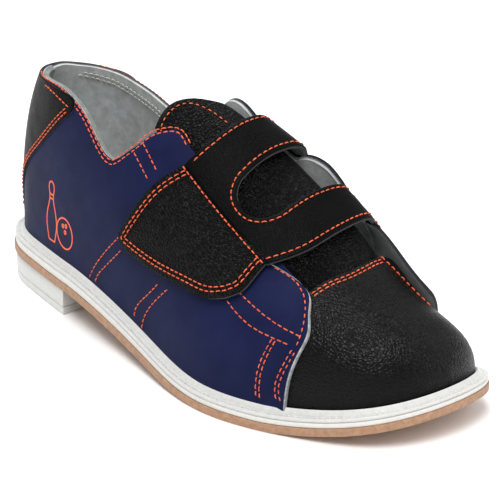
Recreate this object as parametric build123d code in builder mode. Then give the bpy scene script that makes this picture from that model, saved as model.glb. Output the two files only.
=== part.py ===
from build123d import *
import os
from math import cos, pi, sin

# Right-foot bowling shoe with a hook-and-loop strap.  Millimetres, +Z up, +Y towards the heel,
# +X on the medial (inner) side.  The origin is on the floor, under the middle of the sole.

# ---- driving dimensions -------------------------------------------------------------------
HEEL_HEIGHT = 13.5          # heel block under the outsole
TOE_SPRING = 13.0           # how far the toe tip clears the floor
OUTSOLE_T = 3.8
MIDSOLE_T = 2.6             # at the toe; it grows towards the heel
MIDSOLE_GROWTH = 1.5
WELT_T = 2.4
WELT_SHELF = 5.0            # flat of the welt outside the upper
WELT_WIDTH = 13.0
HEEL_BREAST_Y = 75.0        # front face of the heel block
TOP_LIFT_T = 4.0            # wearing layer of the heel
INSOLE_T = 2.2
FOOTBED_T = 4.0

# Layers of the upper, as distances outside (+) or inside (-) the outer face of the quarters.
SKIN = 0.0
QUARTER_IN = -1.5
VAMP_IN = -2.8
PUFF_IN = -3.4
LINING_IN = -3.9
TONGUE_OUT = -1.9
TONGUE_FOAM_OUT = -3.1
TONGUE_FOAM_IN = -5.6
TONGUE_IN = -6.4
LOOP_OUT = 0.9
HOOK_IN = 1.2
HOOK_OUT = 2.0
STRAP_MID = 2.8
STRAP_OUT = 4.2

SEAM_Y = -85.0              # vamp to tongue seam, the tongue's hinge
VAMP_BACK_Y = -70.0         # hidden rear edge of the vamp under the quarters
STIFFENER_FRONT_Y = 62.0
TONGUE_GAP = 4.0            # between the tongue's edges and the linings
HINGE_X = 28.0              # medial fold line of the strap
HINGE_GAP = 0.6
FLAP_FOLD_BACK = (-17.5, 1.0)       # ends of the fold between strap and flap, in plan
FLAP_FOLD_FRONT = (-26.5, -60.0)
HEEL_X = 8.0                # middle of the heel
FAR = 200.0                 # past everything

# Edge of the sole in plan, from the heel's back round the lateral side, the toe and the
# medial side.
SOLE_EDGE = [
    (7.5, 142), (-10, 130.5), (-19.5, 109), (-33.5, 54), (-45, 2.5), (-55, -50), (-43.5, -97),
    (-23.5, -131), (11.5, -142.5), (44, -130), (50.5, -99), (55, -65), (42, -10), (33.5, 43),
    (42.5, 106), (28.5, 130),
]

# Lines plan of the last: y, x and z of the ridge, fullness of the lateral and medial walls.
LAST_STATIONS = [
    (-137.0, 10, 30, 2.2, 2.2), (-134, 9.5, 36, 2.3, 2.2), (-126, 8, 45, 2.5, 2.2),
    (-112, 7, 52, 2.7, 2.2), (-98, 8, 59, 2.6, 2.2), (-86, 10, 66, 2.4, 2.3),
    (-60, 15, 80, 2.1, 2.8), (-25, 18, 98, 1.9, 3.5), (10, 16, 114, 2.0, 4.5),
    (40, 11, 128, 2.2, 4.0), (70, 8.5, 138, 2.5, 3.2), (95, 9.5, 138, 2.9, 2.9),
    (110, 9.5, 126, 2.7, 2.7), (122, 9, 108, 2.5, 2.5), (131, 8.5, 88, 2.3, 2.3),
    (136.5, 8, 66, 2.2, 2.2), (139, 8, 50, 2.2, 2.2),
]


# ---- curves of the shoe ---------------------------------------------------------------------
def ease(start, end, y):
    """0 before start, 1 after end, smooth between."""
    t = min(max((y - start) / (end - start), 0), 1)
    return t * t * (3 - 2 * t)


def z_bottom(y):
    """Underside of the outsole: flat under the ball, up over the heel and at the toe."""
    spring = max(-75 - y, 0) / 67.5
    return HEEL_HEIGHT * ease(-45, 75, y) + TOE_SPRING * spring ** 1.8


def z_midsole(y):
    return z_bottom(y) + OUTSOLE_T


def z_welt(y):
    return z_midsole(y) + MIDSOLE_T + MIDSOLE_GROWTH * ease(-60, 80, y)


def z_feather(y):
    """Top of the welt, where the upper meets the sole."""
    return z_welt(y) + WELT_T


OUTLINE_STEPS = 36
PROFILE_Y = [-150, -130, -110, -90, -70, -45, -20, 10, 40, 60, 80, 100, 150]


def side_band(low, high):
    """Face in the side view between two curves of y."""
    with BuildSketch(Plane.YZ) as band:
        with BuildLine():
            Spline(*[(y, low(y)) for y in PROFILE_Y])
            Spline(*[(y, high(y)) for y in PROFILE_Y])
            Line((PROFILE_Y[0], low(PROFILE_Y[0])), (PROFILE_Y[0], high(PROFILE_Y[0])))
            Line((PROFILE_Y[-1], low(PROFILE_Y[-1])), (PROFILE_Y[-1], high(PROFILE_Y[-1])))
        make_face()
    return band.sketch


def sole_outline(inset):
    """Face of the sole in plan, moved in from its edge."""
    with BuildLine():
        edge = Spline(*SOLE_EDGE, periodic=True)
    points = []
    for step in range(OUTLINE_STEPS):
        along = edge.tangent_at(step / OUTLINE_STEPS)
        inward = Vector(-along.Y, along.X)
        points.append(edge.position_at(step / OUTLINE_STEPS) + inward * inset)
    with BuildSketch() as outline:
        with BuildLine():
            Spline(*points, periodic=True)
        make_face()
    return outline.sketch


def slab(inset, low, high):
    """Sole layer: the plan outline between two side-view curves."""
    with BuildPart() as layer:
        extrude(sole_outline(inset), amount=FAR, dir=(0, 0, 1))
        extrude(side_band(low, high), amount=FAR, both=True, mode=Mode.INTERSECT)
    return layer.part


# ---- the last, as nested solids ---------------------------------------------------------------
TOE_END_Y = -135.0          # the blunt ends of the last are as wide as it is here
HEEL_END_Y = 134.0
LAST_DEPTH = 16.0           # the nested solids reach below the feather line, the inner ones deeper


FEATHER_EDGE = sole_outline(WELT_SHELF).face().outer_wire()
FEATHER_POINTS = [FEATHER_EDGE.position_at(i / 720) for i in range(720)]


def half_widths(y):
    """Lateral and medial x of the feather line at y."""
    crossings = []
    for a, b in zip(FEATHER_POINTS, FEATHER_POINTS[1:] + FEATHER_POINTS[:1]):
        if (a.Y - y) * (b.Y - y) <= 0 and a.Y != b.Y:
            crossings.append(a.X + (y - a.Y) / (b.Y - a.Y) * (b.X - a.X))
    return min(crossings), max(crossings)


def wall(foot, ridge, base, top, power):
    """Points up one wall, a superellipse from the feather line to the ridge."""
    points = []
    for step in range(7):
        angle = step * pi / 12
        x = foot + (ridge - foot) * (1 - cos(angle) ** (2 / power))
        points.append((x, base + (top - base) * sin(angle) ** (2 / power)))
    return points


def last(out):
    """Solid last whose faces lie a distance out from the quarters' outer face."""
    with BuildPart() as form:
        for y, ridge, top, lateral, medial in LAST_STATIONS:
            reach = max(abs(y) - 105, 0) / 32
            station_y = y + out * min(reach, 1) * (1 if y > 0 else -1)
            left, right = half_widths(min(max(y, TOE_END_Y), HEEL_END_Y))
            base = z_feather(y)
            floor = base - LAST_DEPTH + out
            ridge = min(max(ridge, left + 0.3 * (right - left)), right - 0.3 * (right - left))
            up = wall(left - out, ridge, base, top + out, lateral)
            down = wall(right + out, ridge, base, top + out, medial)[-2::-1]
            with BuildSketch(Plane.XZ.offset(-station_y)):
                with BuildLine():
                    Spline(*up, *down)
                    Polyline(down[-1], (right + out, floor), (left - out, floor), up[0])
                make_face()
        loft()
    return form.part


LASTS = {}


def shell(outer, inner):
    """Layer of the upper between two distances from the skin."""
    for out in (outer, inner):
        if out not in LASTS:
            LASTS[out] = last(out)
    with BuildPart() as layer:
        add(LASTS[outer])
        add(LASTS[inner], mode=Mode.SUBTRACT)
        extrude(side_band(z_feather, lambda y: FAR), amount=FAR, both=True, mode=Mode.INTERSECT)
    return layer.part


def side_cut(*points, start=-FAR, end=FAR):
    """Prism across the shoe with a side-view outline, from x = start to x = end."""
    with BuildPart() as cut:
        with BuildSketch(Plane.YZ.offset(start)):
            with BuildLine():
                Polyline(*points, close=True)
            make_face()
        extrude(amount=end - start)
    return cut.part


def plan_cut(*points):
    """Upright prism with a plan outline."""
    with BuildPart() as cut:
        with BuildSketch():
            with BuildLine():
                Polyline(*points, close=True)
            make_face()
        extrude(amount=FAR)
    return cut.part


def save(piece, name):
    piece.part.label = name
    export_step(piece.part, f"parts/{name}.step")


# ---- sole -----------------------------------------------------------------------------------------
def make_heel():
    nail_spots = [(HEEL_X, 126), (-4, 112), (20, 112), (-3, 92), (18, 92)]
    with BuildPart() as heel_nails:
        with BuildSketch(Plane.XY.offset(TOP_LIFT_T + 1)):
            with Locations(*nail_spots):
                Circle(1.2)
        extrude(amount=HEEL_HEIGHT - TOP_LIFT_T + 0.6)
    save(heel_nails, "heel_nails")

    behind_breast = plan_cut((-FAR, HEEL_BREAST_Y), (FAR, HEEL_BREAST_Y), (FAR, FAR), (-FAR, FAR))
    with BuildPart() as heel_block:
        add(slab(1.0, lambda y: TOP_LIFT_T, lambda y: HEEL_HEIGHT))
        add(behind_breast, mode=Mode.INTERSECT)
        add(heel_nails.part, mode=Mode.SUBTRACT)
    save(heel_block, "heel_block")

    with BuildPart() as heel_top_lift:
        add(slab(1.6, lambda y: 0, lambda y: TOP_LIFT_T))
        add(behind_breast, mode=Mode.INTERSECT)
        chamfer(heel_top_lift.edges().group_by(Axis.Z)[0], length=0.8)
    save(heel_top_lift, "heel_top_lift")
    return heel_block.part, heel_nails.part


def make_sole(heel_block, heel_nails):
    with BuildPart() as outsole:
        add(slab(0, z_bottom, z_midsole))
        add(heel_block, mode=Mode.SUBTRACT)
        add(heel_nails, mode=Mode.SUBTRACT)
    save(outsole, "outsole")

    with BuildPart() as midsole:
        add(slab(0.6, z_midsole, z_welt))
    save(midsole, "midsole")

    with BuildPart() as welt:
        add(slab(0.6, z_welt, z_feather))
        add(slab(WELT_WIDTH, z_welt, z_feather), mode=Mode.SUBTRACT)
    save(welt, "welt")

    with BuildPart() as shank:
        with BuildSketch():
            with Locations((2, 32)):
                SlotOverall(124, 15, rotation=90)
        extrude(amount=FAR)
        band = side_band(lambda y: z_welt(y) + 0.6, lambda y: z_welt(y) + 1.8)
        extrude(band, amount=FAR, both=True, mode=Mode.INTERSECT)
    save(shank, "shank")

    with BuildPart() as bottom_filler:
        add(slab(WELT_WIDTH, z_welt, z_feather))
        add(shank.part, mode=Mode.SUBTRACT)
    save(bottom_filler, "bottom_filler")


def make_insoles():
    with BuildPart() as insole_board:
        add(slab(0, z_feather, lambda y: z_feather(y) + INSOLE_T))
        add(LASTS[LINING_IN], mode=Mode.INTERSECT)
    save(insole_board, "insole_board")

    with BuildPart() as footbed:
        add(slab(0, lambda y: z_feather(y) + INSOLE_T, lambda y: z_feather(y) + INSOLE_T + FOOTBED_T))
        add(LASTS[LINING_IN], mode=Mode.INTERSECT)
    save(footbed, "footbed")


# ---- upper ----------------------------------------------------------------------------------------
VAMP_OUTLINE = [(-FAR, 0), (-FAR, 120), (SEAM_Y, 120), (SEAM_Y, 53), (VAMP_BACK_Y, 46), (VAMP_BACK_Y, 0)]
COLLAR_BACK = [(122, 109), (FAR, 109)]
LATERAL_OUTLINE = [
    (-88, 0), (-86, 19), (-89, 29), (-91.5, 38), (-91.5, 46), (-84, 57.5), (-78, 61.5), (-60, 67),
    (-30, 80), (6, 101), (13, 105.5), (19, 105), (25, 102), (35, 92.5), (44, 87), (54, 91),
    (63, 98), (71, 104), (90, 108), *COLLAR_BACK, (FAR, 0),
]
MEDIAL_OUTLINE = [
    (-98, 0), (-97, 15), (-99, 30), (-105, 46), (-97, 53), (-85, 60), (-60, 73), (-25, 90),
    (0, 102), (8, 107), (18, 107), (28, 101), (40, 96.5), (56, 95.5), (74, 98.5), (92, 101),
    (108, 105), *COLLAR_BACK, (FAR, 0),
]
TONGUE_PLAN = [
    (-23, SEAM_Y + 0.6), (-26, -45), (-24, -2), (-18, 12), (-10, 19), (3, 22.5), (14.5, 19.5),
    (21, 12), (25.5, 0), (29.5, -45), (25, SEAM_Y + 0.6),
]
TONGUE_SIDE = [(-90, 54), (40, 97), (40, FAR), (-90, FAR)]    # the tongue lies above this line
POCKET_FRONT_Y = 88.0       # the heel's lining is a piece of its own


def make_vamp():
    outline = side_cut(*VAMP_OUTLINE)
    with BuildPart() as vamp:
        add(shell(QUARTER_IN, VAMP_IN))
        add(outline, mode=Mode.INTERSECT)
    save(vamp, "vamp")

    with BuildPart() as toe_puff:
        add(shell(VAMP_IN, PUFF_IN))
        add(side_cut((-FAR, 0), (-FAR, 120), (-116, 120), (-108, 0)), mode=Mode.INTERSECT)
    save(toe_puff, "toe_puff")

    with BuildPart() as vamp_lining:
        add(shell(VAMP_IN, LINING_IN))
        add(outline, mode=Mode.INTERSECT)
        add(toe_puff.part, mode=Mode.SUBTRACT)
    save(vamp_lining, "vamp_lining")
    return outline


def make_heel_stiffener():
    with BuildPart() as heel_stiffener:
        add(shell(QUARTER_IN, VAMP_IN))
        front = [(STIFFENER_FRONT_Y, 0), (STIFFENER_FRONT_Y + 4, 45), (92, 72), (FAR, 82), (FAR, 0)]
        add(side_cut(*front), mode=Mode.INTERSECT)
    save(heel_stiffener, "heel_stiffener")
    return heel_stiffener.part


def tongue_opening():
    """Gap in the linings that the tongue sinks through, a little wider than the tongue."""
    with BuildPart() as opening:
        with BuildSketch():
            with BuildLine():
                Polyline(*TONGUE_PLAN, close=True)
            make_face()
            offset(amount=TONGUE_GAP, kind=Kind.INTERSECTION)
        extrude(amount=FAR)
        lower_side = [(y, z - TONGUE_GAP) for y, z in TONGUE_SIDE]
        add(side_cut(*lower_side), mode=Mode.INTERSECT)
    return opening.part


def make_quarter(name, outline, start, end, vamp_outline, stiffener):
    with BuildPart() as quarter:
        add(shell(SKIN, QUARTER_IN))
        add(side_cut(*outline, start=start, end=end), mode=Mode.INTERSECT)
    save(quarter, f"{name}_quarter")

    with BuildPart() as lining:
        add(shell(QUARTER_IN, LINING_IN))
        add(side_cut(*outline, start=start, end=end), mode=Mode.INTERSECT)
        add(vamp_outline, mode=Mode.SUBTRACT)
        add(stiffener, mode=Mode.SUBTRACT)
        add(tongue_opening(), mode=Mode.SUBTRACT)
        pocket = side_cut((POCKET_FRONT_Y, 0), (POCKET_FRONT_Y, 150), (FAR, 150), (FAR, 0))
        add(pocket, mode=Mode.SUBTRACT)
    save(lining, f"{name}_lining")


def make_heel_lining(stiffener):
    with BuildPart() as heel_lining:
        add(shell(QUARTER_IN, LINING_IN))
        lateral = side_cut(*LATERAL_OUTLINE, end=HEEL_X)
        medial = side_cut(*MEDIAL_OUTLINE, start=HEEL_X)
        add(lateral + medial, mode=Mode.INTERSECT)
        pocket = side_cut((POCKET_FRONT_Y, 0), (POCKET_FRONT_Y, 150), (FAR, 150), (FAR, 0))
        add(pocket, mode=Mode.INTERSECT)
        add(stiffener, mode=Mode.SUBTRACT)
    save(heel_lining, "heel_lining")


def make_backstay():
    """Strip down the back seam that widens into the collar."""
    lateral = [(73, 104.5), (90, 108), *COLLAR_BACK, (FAR, 0), (134, 0), (132, 40), (126, 53),
               (115, 67), (99, 81), (78, 100)]
    medial = [(92, 101), (108, 105), *COLLAR_BACK, (FAR, 0), (134, 0), (132, 40), (126, 53), (112, 72)]
    with BuildPart() as backstay:
        add(shell(LOOP_OUT, SKIN))
        both = side_cut(*lateral, end=HEEL_X) + side_cut(*medial, start=HEEL_X)
        add(both, mode=Mode.INTERSECT)
    save(backstay, "backstay")


# ---- tongue ---------------------------------------------------------------------------------------
def make_tongue():
    layers = {
        "tongue_leather": (TONGUE_OUT, TONGUE_FOAM_OUT),
        "tongue_foam": (TONGUE_FOAM_OUT, TONGUE_FOAM_IN),
        "tongue_lining": (TONGUE_FOAM_IN, TONGUE_IN),
    }
    for name, (outer, inner) in layers.items():
        with BuildPart() as layer:
            add(shell(outer, inner))
            add(plan_cut(*TONGUE_PLAN), mode=Mode.INTERSECT)
            add(side_cut(*TONGUE_SIDE), mode=Mode.INTERSECT)
        save(layer, name)


# ---- strap ----------------------------------------------------------------------------------------
STRAP_BACK_Y = -3.5
STRAP_FRONT = [(-15, -68.5), (5, -70.5), (HINGE_X, -67.5)]
WINDOW_BACK_Y = -25.0
WINDOW_FRONT_Y = -49.0
WINDOW_END_X = -16.0
LEG_SPLIT_Y = -35.0
FLAP_EDGE = [
    (1, 101.5), (13, 82), (20, 70.5), (25, 62), (27.5, 57), (26, 54), (21, 52), (9, 50),
    (-8, 48.5), (-26, 48), (-40, 48), (-49, 50.5), (-55.5, 54.5), (-58, 60), (-62, 68),
]
LOOP_EDGE = [(-4, 88), (10, 70), (16, 60), (8, 56), (-26, 54), (-45, 56), (-50, 62), (-50, 68)]
FASTENER_TOP_X = -22.0      # the loop pad stops short of the throat


def strap_plan():
    """Both legs in plan, from the medial fold to the flap's fold, round the window."""
    gap = HINGE_GAP / 2
    back_x, back_y = FLAP_FOLD_BACK
    front_x, front_y = FLAP_FOLD_FRONT
    with BuildSketch() as plan:
        with BuildLine():
            Polyline(
                (HINGE_X - gap, STRAP_BACK_Y), (0, STRAP_BACK_Y), (back_x + gap, back_y),
                (front_x + gap, front_y), *STRAP_FRONT[:2], (HINGE_X - gap, STRAP_FRONT[2][1]),
                close=True,
            )
        make_face()
        with BuildSketch(mode=Mode.SUBTRACT):
            width = WINDOW_BACK_Y - WINDOW_FRONT_Y
            with Locations((WINDOW_END_X, (WINDOW_BACK_Y + WINDOW_FRONT_Y) / 2)):
                RectangleRounded(2 * FAR, width, 9, align=(Align.MIN, Align.CENTER))
    return plan.sketch


def make_legs():
    legs = {"upper": (LEG_SPLIT_Y, FAR), "lower": (-FAR, LEG_SPLIT_Y)}
    layers = {"leg": (STRAP_OUT, STRAP_MID), "leg_lining": (STRAP_MID, HOOK_OUT)}
    for which, (front, back) in legs.items():
        for kind, (outer, inner) in layers.items():
            with BuildPart() as leg:
                add(shell(outer, inner))
                extrude(strap_plan(), amount=FAR, mode=Mode.INTERSECT)
                half = plan_cut((-FAR, front), (FAR, front), (FAR, back), (-FAR, back))
                add(half, mode=Mode.INTERSECT)
            save(leg, f"strap_{which}_{kind}")


def make_anchors():
    """Fixed ends of the strap, stitched to the medial quarter below the fold."""
    ends = {"upper": (WINDOW_BACK_Y, STRAP_BACK_Y, 84), "lower": (STRAP_FRONT[2][1], WINDOW_FRONT_Y, 54)}
    for which, (front, back, low) in ends.items():
        with BuildPart() as anchor:
            add(shell(STRAP_OUT, SKIN))
            patch = [(front, low), (back, low + 0.5 * (back - front)), (back, 150), (front, 150)]
            add(side_cut(*patch, start=HINGE_X + HINGE_GAP / 2), mode=Mode.INTERSECT)
        save(anchor, f"strap_anchor_{which}")


def make_flap():
    gap = HINGE_GAP / 2
    back_x, back_y = FLAP_FOLD_BACK
    front_x, front_y = FLAP_FOLD_FRONT
    slope = (back_x - front_x) / (back_y - front_y)
    beyond_fold = plan_cut(
        (back_x - gap + slope * 40, back_y + 40), (front_x - gap - slope * 40, front_y - 40),
        (-FAR, front_y - 40), (-FAR, back_y + 40),
    )
    outline = side_cut(*FLAP_EDGE, (-62, 130), (1, 130), end=0)
    layers = {"strap_flap": (STRAP_OUT, STRAP_MID), "strap_flap_lining": (STRAP_MID, HOOK_OUT)}
    for name, (outer, inner) in layers.items():
        with BuildPart() as layer:
            add(shell(outer, inner))
            add(outline, mode=Mode.INTERSECT)
            add(beyond_fold, mode=Mode.INTERSECT)
        save(layer, name)

    pads = {"hook_pad": (HOOK_OUT, HOOK_IN), "loop_pad": (LOOP_OUT, SKIN)}
    for name, (outer, inner) in pads.items():
        with BuildPart() as pad:
            add(shell(outer, inner))
            add(side_cut(*LOOP_EDGE, end=FASTENER_TOP_X), mode=Mode.INTERSECT)
            add(beyond_fold, mode=Mode.INTERSECT)
        save(pad, name)


def make_shoe():
    os.makedirs("parts", exist_ok=True)
    make_sole(*make_heel())
    vamp_outline = make_vamp()
    stiffener = make_heel_stiffener()
    make_quarter("lateral", LATERAL_OUTLINE, -FAR, HEEL_X, vamp_outline, stiffener)
    make_quarter("medial", MEDIAL_OUTLINE, HEEL_X, FAR, vamp_outline, stiffener)
    make_heel_lining(stiffener)
    make_insoles()
    make_backstay()
    make_tongue()
    make_legs()
    make_anchors()
    make_flap()


make_shoe()
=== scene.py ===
import math

import bmesh
import bpy
import numpy as np
from mathutils import Matrix, Vector


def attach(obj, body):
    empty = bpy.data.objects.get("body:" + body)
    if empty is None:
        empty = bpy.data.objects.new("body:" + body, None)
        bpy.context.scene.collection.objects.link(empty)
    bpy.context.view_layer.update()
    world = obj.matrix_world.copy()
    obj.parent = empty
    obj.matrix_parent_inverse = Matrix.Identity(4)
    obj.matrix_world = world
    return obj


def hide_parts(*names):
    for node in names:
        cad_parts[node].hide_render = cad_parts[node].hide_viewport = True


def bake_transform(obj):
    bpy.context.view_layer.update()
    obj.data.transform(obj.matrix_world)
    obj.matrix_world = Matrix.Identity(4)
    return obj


# Looks of the bowling shoe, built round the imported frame.  The shoe's lengths are millimetres
# until they become a mesh; the studio and the camera are in metres.
# +Z is up, +Y towards the heel, +X on the medial side.
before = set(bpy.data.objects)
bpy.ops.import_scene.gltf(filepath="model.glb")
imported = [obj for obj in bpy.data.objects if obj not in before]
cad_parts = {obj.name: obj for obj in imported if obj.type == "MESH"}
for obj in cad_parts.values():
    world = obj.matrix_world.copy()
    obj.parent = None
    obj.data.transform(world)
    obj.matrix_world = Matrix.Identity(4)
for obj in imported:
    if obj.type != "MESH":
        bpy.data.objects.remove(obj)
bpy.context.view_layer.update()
MM = 0.001

# ---- dimensions shared with the CAD part ----------------------------------------------------
HEEL_HEIGHT, TOP_LIFT_T, HEEL_BREAST_Y, WAIST_Y = 13.5, 4.0, 75.0, -45.0
TOE_SPRING, TOE_SPRING_Y, TOE_SPRING_RUN, TOE_SPRING_POWER = 13.0, -75.0, 67.5, 1.8
MIDSOLE_GROWTH_FROM, MIDSOLE_GROWTH_TO = -60, 80
OUTSOLE_T, MIDSOLE_T, MIDSOLE_GROWTH, WELT_T, WELT_SHELF = 3.8, 2.6, 1.5, 2.4, 5.0
INSOLE_T, FOOTBED_T = 2.2, 4.0
QUARTER_IN, VAMP_IN, LINING_IN = -1.5, -2.8, -3.9
TONGUE_OUT, TONGUE_IN = -1.9, -6.4
HOOK_IN, STRAP_OUT, STRAP_IN = 1.2, 4.2, 2.2
SOLE_EDGE = [
    (7.5, 142), (-10, 130.5), (-19.5, 109), (-33.5, 54), (-45, 2.5), (-55, -50), (-43.5, -97),
    (-23.5, -131), (11.5, -142.5), (44, -130), (50.5, -99), (55, -65), (42, -10), (33.5, 43),
    (42.5, 106), (28.5, 130),
]
LAST_STATIONS = [
    (-137.0, 10, 30, 2.2, 2.2), (-134, 9.5, 36, 2.3, 2.2), (-126, 8, 45, 2.5, 2.2),
    (-112, 7, 52, 2.7, 2.2), (-98, 8, 59, 2.6, 2.2), (-86, 10, 66, 2.4, 2.3),
    (-60, 15, 80, 2.1, 2.8), (-25, 18, 98, 1.9, 3.5), (10, 16, 114, 2.0, 4.5),
    (40, 11, 128, 2.2, 4.0), (70, 8.5, 138, 2.5, 3.2), (95, 9.5, 138, 2.9, 2.9),
    (110, 9.5, 126, 2.7, 2.7), (122, 9, 108, 2.5, 2.5), (131, 8.5, 88, 2.3, 2.3),
    (136.5, 8, 66, 2.2, 2.2), (139, 8, 50, 2.2, 2.2),
]


# ---- curves ---------------------------------------------------------------------------------
def spline(points, count, closed=False):
    """Smooth curve through points, sampled evenly along its chords."""
    knots = np.array(points, float)
    if closed:
        knots = np.vstack([knots, knots[:1]])
    span = np.linalg.norm(np.diff(knots, axis=0), axis=1)
    at = np.concatenate([[0], np.cumsum(span)])
    last = len(span)
    slope = np.diff(knots, axis=0) / span[:, None]
    system = np.zeros((last + 1, last + 1))
    wanted = np.zeros_like(knots)
    for i in range(1, last):
        system[i, i - 1:i + 2] = span[i - 1], 2 * (span[i - 1] + span[i]), span[i]
        wanted[i] = 6 * (slope[i] - slope[i - 1])
    if closed:
        system[0, 0], system[0, 1] = 2 * (span[0] + span[-1]), span[0]
        system[0, last - 1] = span[-1]
        wanted[0] = 6 * (slope[0] - slope[-1])
        system[last, last], system[last, 0] = 1, -1
    else:
        system[0, 0] = system[last, last] = 1
    bending = np.linalg.solve(system, wanted)
    place = np.linspace(0, at[-1], count, endpoint=not closed)
    k = np.clip(np.searchsorted(at, place, "right") - 1, 0, last - 1)
    step = span[k][:, None]
    right = (place - at[k])[:, None] / step
    left = 1 - right
    sag = (left ** 3 - left) * bending[k] + (right ** 3 - right) * bending[k + 1]
    return left * knots[k] + right * knots[k + 1] + sag * step ** 2 / 6


def along(points, at):
    """Points of a polyline at shares of its length."""
    points = np.array(points, float)
    run = np.concatenate([[0], np.cumsum(np.linalg.norm(np.diff(points, axis=0), axis=1))])
    return np.stack([np.interp(np.asarray(at) * run[-1], run, points[:, i])
                     for i in range(points.shape[1])], axis=-1)


def length(points):
    return float(np.linalg.norm(np.diff(np.array(points, float), axis=0), axis=1).sum())


def ease(start, end, y):
    """0 before start, 1 past end, and a smooth step between them."""
    share = np.clip((np.asarray(y, float) - start) / (end - start), 0, 1)
    return share * share * (3 - 2 * share)


def z_bottom(y):
    spring = np.maximum(TOE_SPRING_Y - np.asarray(y, float), 0) / TOE_SPRING_RUN
    return HEEL_HEIGHT * ease(WAIST_Y, HEEL_BREAST_Y, y) + TOE_SPRING * spring ** TOE_SPRING_POWER


def z_midsole(y):
    return z_bottom(y) + OUTSOLE_T


def z_welt(y):
    growth = ease(MIDSOLE_GROWTH_FROM, MIDSOLE_GROWTH_TO, y)
    return z_midsole(y) + MIDSOLE_T + MIDSOLE_GROWTH * growth


def z_feather(y):
    return z_welt(y) + WELT_T


EDGE = spline(SOLE_EDGE, 1440, closed=True)
EDGE_ALONG = np.roll(EDGE, -1, 0) - np.roll(EDGE, 1, 0)
EDGE_ALONG /= np.linalg.norm(EDGE_ALONG, axis=1)[:, None]
EDGE_IN = np.stack([-EDGE_ALONG[:, 1], EDGE_ALONG[:, 0]], axis=1)


def outline(inset):
    """The sole's outline in plan, moved in from its edge."""
    return EDGE + EDGE_IN * inset


FEATHER = outline(WELT_SHELF)
TOE_AT, HEEL_AT = FEATHER[:, 1].argmin(), FEATHER[:, 1].argmax()
ROUND = np.roll(FEATHER, -HEEL_AT, axis=0)
TURN = (TOE_AT - HEEL_AT) % len(FEATHER)
LATERAL_LINE, MEDIAL_LINE = ROUND[:TURN + 1][::-1], ROUND[TURN:]


def feather(y, side):
    """Point on the feather line, where the upper meets the welt."""
    line = LATERAL_LINE if side < 0 else MEDIAL_LINE
    return np.array([np.interp(y, line[:, 1], line[:, 0]), y, float(z_feather(y))])


# ---- the upper's outer surface --------------------------------------------------------------
LAST = spline(LAST_STATIONS, 2000)
RIDGE_MARGIN = 0.3           # of the width, kept between the ridge and either side
SNAP_LOW, SNAP_HIGH, SNAP_HALVINGS = 0.4, 1.8, 26
MIDDLE_FRONT, MIDDLE_BACK, MIDDLE_TOP, MIDDLE_RISE = -95, 100, 100, 0.3
NORMAL_STEP = 0.4


def section(y):
    """Ridge x, ridge z, lateral and medial power of the curve, left and right x of the foot at y."""
    ridge, top, p, q = (np.interp(y, LAST[:, 0], LAST[:, i]) for i in (1, 2, 3, 4))
    left = np.interp(y, LATERAL_LINE[:, 1], LATERAL_LINE[:, 0])
    right = np.interp(y, MEDIAL_LINE[:, 1], MEDIAL_LINE[:, 0])
    margin = RIDGE_MARGIN * (right - left)
    return np.clip(ridge, left + margin, right - margin), top, p, q, left, right


def fullness(points):
    """Below 1 inside the upper's surface, 1 on it, more outside."""
    x, y, z = points[..., 0], points[..., 1], points[..., 2]
    ridge, top, p, q, left, right = section(y)
    base = z_feather(y)
    side = x < ridge
    power = np.where(side, p, q)
    across = np.abs(x - ridge) / np.maximum(np.where(side, ridge - left, right - ridge), 0.05)
    height = np.maximum(z - base, 0) / (top - base)
    past = np.maximum(y - FEATHER[:, 1].max(), 0) + np.maximum(FEATHER[:, 1].min() - y, 0)
    return (across ** power + height ** power) ** (1 / power) + past


def snap(points):
    """Points moved onto the surface, along rays from the middle of the shoe."""
    points = np.asarray(points, float)
    middle = points.copy()
    middle[..., 1] = np.clip(points[..., 1], MIDDLE_FRONT, MIDDLE_BACK)
    ridge, top = section(middle[..., 1])[:2]
    base = z_feather(middle[..., 1])
    middle[..., 0] = ridge
    middle[..., 2] = base + MIDDLE_RISE * (np.minimum(top, MIDDLE_TOP) - base)
    ray = points - middle
    low, high = np.full(ray.shape[:-1], SNAP_LOW), np.full(ray.shape[:-1], SNAP_HIGH)
    for _ in range(SNAP_HALVINGS):
        mid = (low + high) / 2
        inside = fullness(middle + ray * mid[..., None]) < 1
        low, high = np.where(inside, mid, low), np.where(inside, high, mid)
    return middle + ray * low[..., None]


def normals(points):
    """Outward unit normals of the surface, from small steps along each axis."""
    grad = np.stack([fullness(points + step) - fullness(points - step)
                     for step in np.eye(3) * NORMAL_STEP], axis=-1)
    return grad / np.maximum(np.linalg.norm(grad, axis=-1), 1e-9)[..., None]


def wall_point(y, z, side):
    """Point of the surface at a height in the side view."""
    ridge, top, p, q, left, right = section(y)
    power = p if side < 0 else q
    foot = left if side < 0 else right
    up = min(max((z - z_feather(y)) / (top - z_feather(y)), 0), 1)
    return [float(ridge + (foot - ridge) * (1 - up ** power) ** (1 / power)), y, z]


def top_point(x, y):
    """Point of the surface seen from above."""
    ridge, top, p, q, left, right = section(y)
    power, foot = (p, left) if x < ridge else (q, right)
    over = min(abs((x - ridge) / (foot - ridge)), 0.999)
    return [x, y, float(z_feather(y) + (top - z_feather(y)) * (1 - over ** power) ** (1 / power))]


def walls(side, *pairs):
    """Points of one side of the surface, from pairs of y and z."""
    return [wall_point(y, z, side) for y, z in pairs]


def tops(*pairs):
    """Points of the surface, from pairs of x and y."""
    return [top_point(x, y) for x, y in pairs]


def feather_run(side, start, end, count):
    """Even points of one side's feather line, from y start to y end."""
    return [feather(y, side) for y in np.linspace(start, end, count)]


def curve(points, count=160):
    return spline(points, count)


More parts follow.
